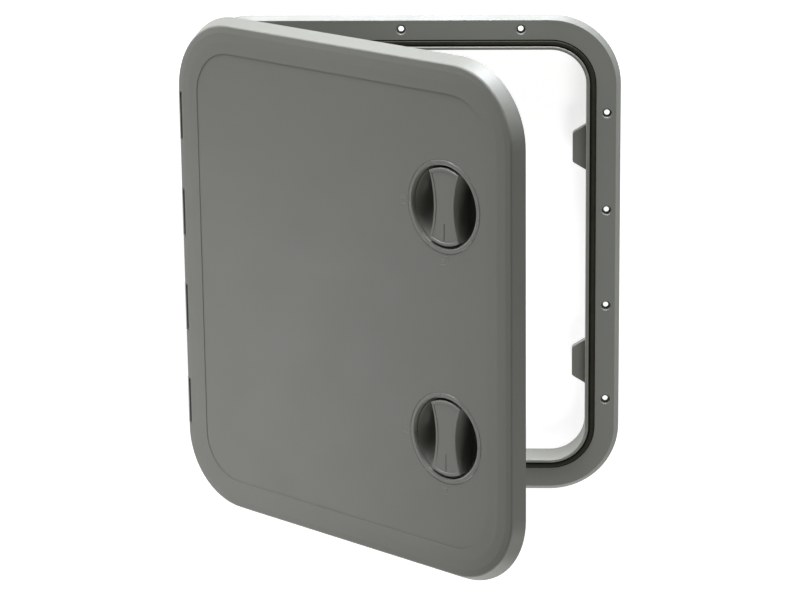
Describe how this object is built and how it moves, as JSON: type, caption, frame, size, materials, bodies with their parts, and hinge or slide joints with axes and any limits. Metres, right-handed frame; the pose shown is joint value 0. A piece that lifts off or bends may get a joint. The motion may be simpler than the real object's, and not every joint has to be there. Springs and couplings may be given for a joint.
{
  "type": "deck access hatch",
  "caption": "Rectangular deck access hatch with rounded corners: flanged frame with collar and rubber seal, side-hinged lid and recessed twist latches.",
  "frame": {"origin": "centre of the frame on the deck plane, the underside of the flange", "axes": "+Z out of the deck, +X from the hinge to the free edge of the lid, +Y along the hinge line"},
  "size_m": [0.4404, 0.51, 0.3204],
  "materials": {
    "frame_plastic": "satin moulded",
    "lid_plastic": "satin, very fine grain",
    "liner_plastic": "matt moulded",
    "latch_plastic": "satin moulded",
    "knob_plastic": "satin moulded",
    "cam_plastic": "matt glass-filled",
    "washer_plastic": "smooth",
    "seal_rubber": "matt",
    "stainless": "turned"
  },
  "bodies": {
    "frame": {"frame": "frame_plastic", "frame_gasket": "seal_rubber", "catch_upper": "frame_plastic", "catch_lower": "frame_plastic"},
    "lid": {"lid_shell": "lid_plastic", "lid_liner": "liner_plastic", "hinge_pin_upper": "stainless", "hinge_pin_lower": "stainless", "latch_cup_upper": "latch_plastic", "latch_cup_lower": "latch_plastic", "latch_nut_upper": "latch_plastic", "latch_nut_lower": "latch_plastic", "latch_seal_upper": "seal_rubber", "latch_seal_lower": "seal_rubber", "latch_thrust_washer_upper": "washer_plastic", "latch_thrust_washer_lower": "washer_plastic", "latch_shaft_ring_upper": "seal_rubber", "latch_shaft_ring_lower": "seal_rubber"},
    "latch_upper": {"knob_upper": "knob_plastic", "cam_upper": "cam_plastic", "cam_washer_upper": "stainless", "cam_screw_upper": "stainless"},
    "latch_lower": {"knob_lower": "knob_plastic", "cam_lower": "cam_plastic", "cam_washer_lower": "stainless", "cam_screw_lower": "stainless"}
  },
  "joints": [
    {"name": "lid_hinge", "type": "hinge", "parent": "frame", "child": "lid", "pos_m": [-0.2175, 0, 0.0095], "axis": [0, -1, 0], "range_deg": [-40, 65]},
    {"name": "knob_upper_turn", "type": "hinge", "parent": "lid", "child": "latch_upper", "pos_m": [0.05986, 0.113, 0.22983], "axis": [-0.6428, 0, 0.766], "range_deg": [-90, 0]},
    {"name": "knob_lower_turn", "type": "hinge", "parent": "lid", "child": "latch_lower", "pos_m": [0.05986, -0.113, 0.22983], "axis": [-0.6428, 0, 0.766], "range_deg": [-90, 0]}
  ]
}
